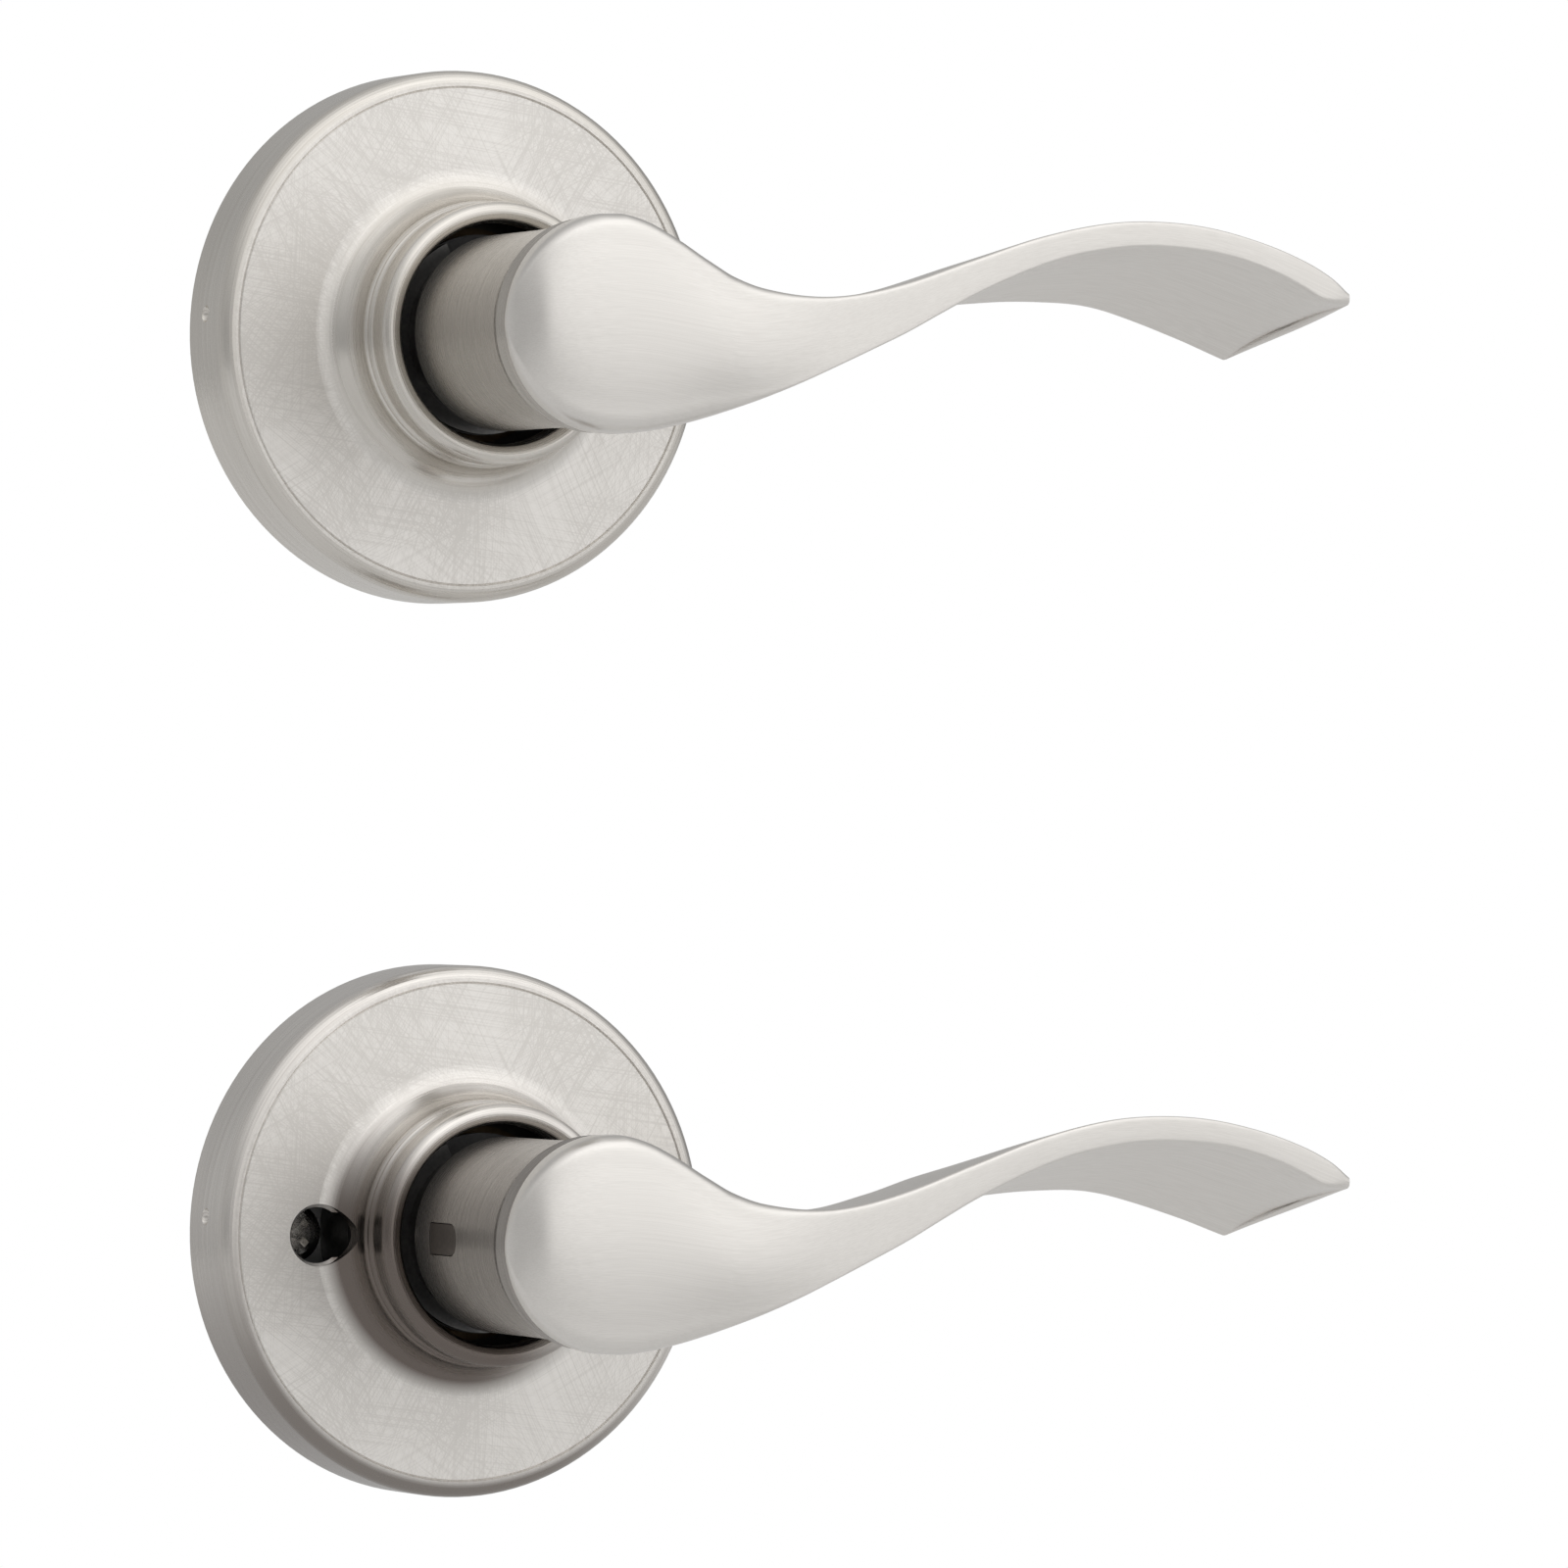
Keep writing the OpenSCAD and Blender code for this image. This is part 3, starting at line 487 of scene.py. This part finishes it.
def rose_material(handle):
    """Crossed scratches on the face; the rim and the bell are brushed round, in tones lighter or darker
    per handle as painted light, with painted shade on the inside rose's lower side.
    """
    material, tree, shader = blank(handle + "_brushed_rose", 1.0, 0.34, 0.3, 0.25)
    brush_along(tree, shader, "Y")
    place = centred(tree, handle)
    unit, radius = across_axis(tree, place)
    on_rim = mapped_range(tree, radius, RIM_FROM * MM, RIM_FULL * MM)
    on_bell = mapped_range(tree, radius, BELL_FROM * MM, BELL_FULL * MM)
    turned_share = maths(tree, "MAXIMUM", on_rim, on_bell)
    lines = add(tree, "ShaderNodeMix", {
        "Factor": turned_share, "A": crossed_lines(tree, place), "B": turned_lines(tree, place, 30, 26),
    }, data_type="FLOAT").outputs[0]
    # Per-handle tones of the turned parts: painted light
    light, dark = TURNED_PAINTED_LIGHT_TONES[handle]
    # Painted shade: the inside rose's bell goes darker towards the lower left and its rim towards the
    # bottom
    if handle == "inside":
        bell = [with_painted_shade(tree, unit, tone, BELL_PAINTED_SHADE) for tone in (light, dark)]
        rim = [with_painted_shade(tree, unit, tone, RIM_PAINTED_SHADE) for tone in (light, dark)]
        light, dark = (mixed(tree, on_rim, *pair) for pair in zip(bell, rim))
    light = mixed(tree, turned_share, NICKEL, light)
    dark = mixed(tree, turned_share, NICKEL_WORN, dark)
    gloss = mapped_range(tree, turned_share, 0, 1, 0.38, 0.27)
    finish_surface(tree, shader, light, dark, lines, gloss, 0.05, 0.012, 0.3)
    return material


def neck_material(handle):
    """A sleeve brushed round its axis, in tones darkened per handle as painted shade."""
    material, tree, shader = blank(handle + "_brushed_neck", 0.85, 0.3, 0.5, 0.25)
    brush_along(tree, shader, "Y")
    lines = turned_lines(tree, centred(tree, handle), 24, 22)
    finish_surface(tree, shader, *NECK_PAINTED_SHADE_TONES[handle], lines, 0.26, 0.05, 0.012, 0.3)
    return material


def lever_material(handle):
    """A grip brushed along its length, after its own flow."""
    material, tree, shader = blank(handle + "_brushed_lever", 1.0, 0.32, 0.4, 0.0)
    brush_along(tree, shader, "X")
    flow = add(tree, "ShaderNodeAttribute", attribute_name="flow", attribute_type="GEOMETRY")
    metres = add(tree, "ShaderNodeVectorMath", {
        0: flow.outputs["Vector"], "Scale": MM,
    }, operation="SCALE").outputs[0]
    fine = streaks(tree, metres, (38, 0.1, 0.1), 0.3, 0.75, 0, 3, 1.0)
    broad = streaks(tree, metres, (60, 0.5, 0.5), 0.3, 0.75, 0, 17, 0.0)
    lines = maths(tree, "ADD", maths(tree, "MULTIPLY", fine, 0.6), maths(tree, "MULTIPLY", broad, 0.12))
    finish_surface(tree, shader, NICKEL, NICKEL_WORN, lines, 0.33, 0.03, 0.004, 0.15)
    return material


def plain_metal(name, colour, dark, roughness):
    """Machined or plated metal with fine grain and cloudy patches."""
    material, tree, shader = blank(name, 1.0, roughness)
    place = add(tree, "ShaderNodeTexCoord").outputs["Object"]
    grain = streaks(tree, place, (0.5, 0.5, 0.5), 0.3, 0.7)
    cloud = streaks(tree, place, (6, 6, 6), 0.3, 0.7, 0, 9)
    lines = maths(tree, "ADD", maths(tree, "MULTIPLY", grain, 0.4), maths(tree, "MULTIPLY", cloud, 0.6))
    finish_surface(tree, shader, colour, dark, lines, roughness, 0.07, 0.02, 0.2)
    return material


def plastic(name, colour, dark):
    """Moulded plastic with a fine grain."""
    material, tree, shader = blank(name, 0.0, 0.45)
    place = add(tree, "ShaderNodeTexCoord").outputs["Object"]
    grain = streaks(tree, place, (0.3, 0.3, 0.3), 0.3, 0.7)
    finish_surface(tree, shader, colour, dark, grain, 0.45, 0.08, 0.02, 0.3)
    return material


def paint(obj, material):
    """Make a material the object's only one."""
    obj.data.materials.clear()
    obj.data.materials.append(material)


# Metals and plastics of the works: light tone, dark tone, roughness
zinc = plain_metal("zinc_plate", (0.60, 0.60, 0.59), (0.42, 0.42, 0.41), 0.38)
black_steel = plain_metal("phosphated_steel", (0.06, 0.058, 0.055), (0.03, 0.03, 0.03), 0.5)
tube_steel = plain_metal("tube_steel", (0.16, 0.155, 0.15), (0.09, 0.085, 0.08), 0.45)
spindle_steel = plain_metal("spindle_steel", (0.5, 0.49, 0.47), (0.36, 0.35, 0.33), 0.4)
spring_steel = plain_metal("spring_steel", (0.2, 0.195, 0.19), (0.1, 0.1, 0.1), 0.35)
# Painted shade: the bronze bush is coloured nearly black, as the shade inside the handle
bronze_painted_shade = plain_metal("bush_bronze", (0.07, 0.05, 0.03), (0.04, 0.028, 0.018), 0.5)
nylon = plastic("nylon", (0.035, 0.034, 0.033), (0.02, 0.02, 0.02))
catch_metal = plain_metal("catch_steel", (0.17, 0.15, 0.135), (0.12, 0.105, 0.095), 0.4)
screw_metal = plain_metal("screw_steel", (0.62, 0.60, 0.57), (0.40, 0.385, 0.365), 0.24)
PLAIN = {
    "mounting_plate": zinc,
    "mounting_posts": zinc,
    "mounting_screws": screw_metal,
    "spring_cage": black_steel,
    "cage_rivets": black_steel,
    "cam_plate": black_steel,
    "return_spring": spring_steel,
    "catch_spring": spring_steel,
    "retaining_ring": spring_steel,
    "drive_tube": tube_steel,
    "hub_bush": bronze_painted_shade,
    "thrust_washer": nylon,
    "lever_catch": catch_metal,
    "spindle": spindle_steel,
}
for handle in HANDLES:
    paint(make_lever(handle), lever_material(handle))
    paint(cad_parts[handle + "_rose"], rose_material(handle))
    paint(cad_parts[handle + "_lever_neck"], neck_material(handle))
for name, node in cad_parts.items():
    kind = name.split("_", 1)[1]
    if kind in PLAIN:
        paint(node, PLAIN[kind])

# ---------------------------------------------------------------- stage, light and camera

# In metres
FLOOR_Z = -0.5
FLOOR_REACH = 4.0
FLOOR_TONE = (0.8, 0.8, 0.8)
AIM = (0.0394, -0.0205, 0.056)
CAMERA_TURN = -27.5
CAMERA_DISTANCE = 1.3
LENS_MM = 237
SENSOR_MM = 36

# The sky's even light, and its soft lights: turn from the front, height and width in degrees, strength
BASE_LIGHT = 0.34
LOBE_SPREAD = 1.6
LOBES = (
    (27, 20, 45, 0.73),
    (27, 65, 40, 0.27),
    (-60, 45, 30, 0.25),
    (-120, 5, 30, 0.18),
    (180, 5, 35, 0.11),
    (-50, 5, 30, 0.05),
    (0, 90, 45, 0.2),
)


def direction(turn, height):
    """Unit vector from the object, turned from the front towards +X, and raised."""
    a, e = math.radians(turn), math.radians(height)
    return Vector((math.sin(a) * math.cos(e), -math.cos(a) * math.cos(e), math.sin(e)))


def make_floor():
    """A plain pale floor, well below the part."""
    corners = [
        (x * FLOOR_REACH, y * FLOOR_REACH, FLOOR_Z)
        for x, y in ((-1, -1), (1, -1), (1, 1), (-1, 1))
    ]
    mesh = bpy.data.meshes.new("floor")
    mesh.from_pydata(corners, [], [(0, 1, 2, 3)])
    floor = bpy.data.objects.new("floor", mesh)
    bpy.context.scene.collection.objects.link(floor)
    material, tree, shader = blank("floor_pale", 0.0, 0.9)
    shader.inputs["Base Color"].default_value = (*FLOOR_TONE, 1)
    paint(floor, material)


def make_sky():
    """A sky that is white to the camera and lights the part with broad soft lights."""
    world = bpy.data.worlds.new("studio")
    bpy.context.scene.world = world
    world.use_nodes = True
    tree = world.node_tree
    tree.nodes.clear()
    ray = add(tree, "ShaderNodeTexCoord").outputs["Generated"]
    total = BASE_LIGHT
    for turn, height, width, gain in LOBES:
        facing = add(tree, "ShaderNodeVectorMath", {
            0: ray, 1: direction(turn, height),
        }, operation="DOT_PRODUCT").outputs["Value"]
        edge = math.cos(math.radians(width * LOBE_SPREAD))
        light = add(tree, "ShaderNodeMapRange", {
            "Value": facing, "From Min": edge, "From Max": 1.0, "To Max": gain,
        }, interpolation_type="SMOOTHSTEP").outputs[0]
        total = maths(tree, "ADD", total, light)
    lit = add(tree, "ShaderNodeBackground", {"Color": (1, 1, 1, 1), "Strength": total})
    seen = add(tree, "ShaderNodeBackground", {"Color": (1, 1, 1, 1), "Strength": 1.0})
    camera_ray = add(tree, "ShaderNodeLightPath").outputs["Is Camera Ray"]
    sky = add(tree, "ShaderNodeMixShader", {0: camera_ray, 1: lit.outputs[0], 2: seen.outputs[0]})
    add(tree, "ShaderNodeOutputWorld", {0: sky.outputs[0]})


def make_camera():
    """A long lens, level with the part and off to its left."""
    data = bpy.data.cameras.new("camera")
    data.sensor_width = SENSOR_MM
    data.lens = LENS_MM
    data.clip_start = 0.05
    data.clip_end = 20
    camera = bpy.data.objects.new("camera", data)
    back = direction(CAMERA_TURN, 0)
    camera.location = Vector(AIM) + back * CAMERA_DISTANCE
    camera.rotation_euler = (-back).to_track_quat("-Z", "Y").to_euler()
    bpy.context.scene.collection.objects.link(camera)
    bpy.context.scene.camera = camera


make_floor()
make_sky()
make_camera()
bpy.context.scene.view_settings.view_transform = "Standard"
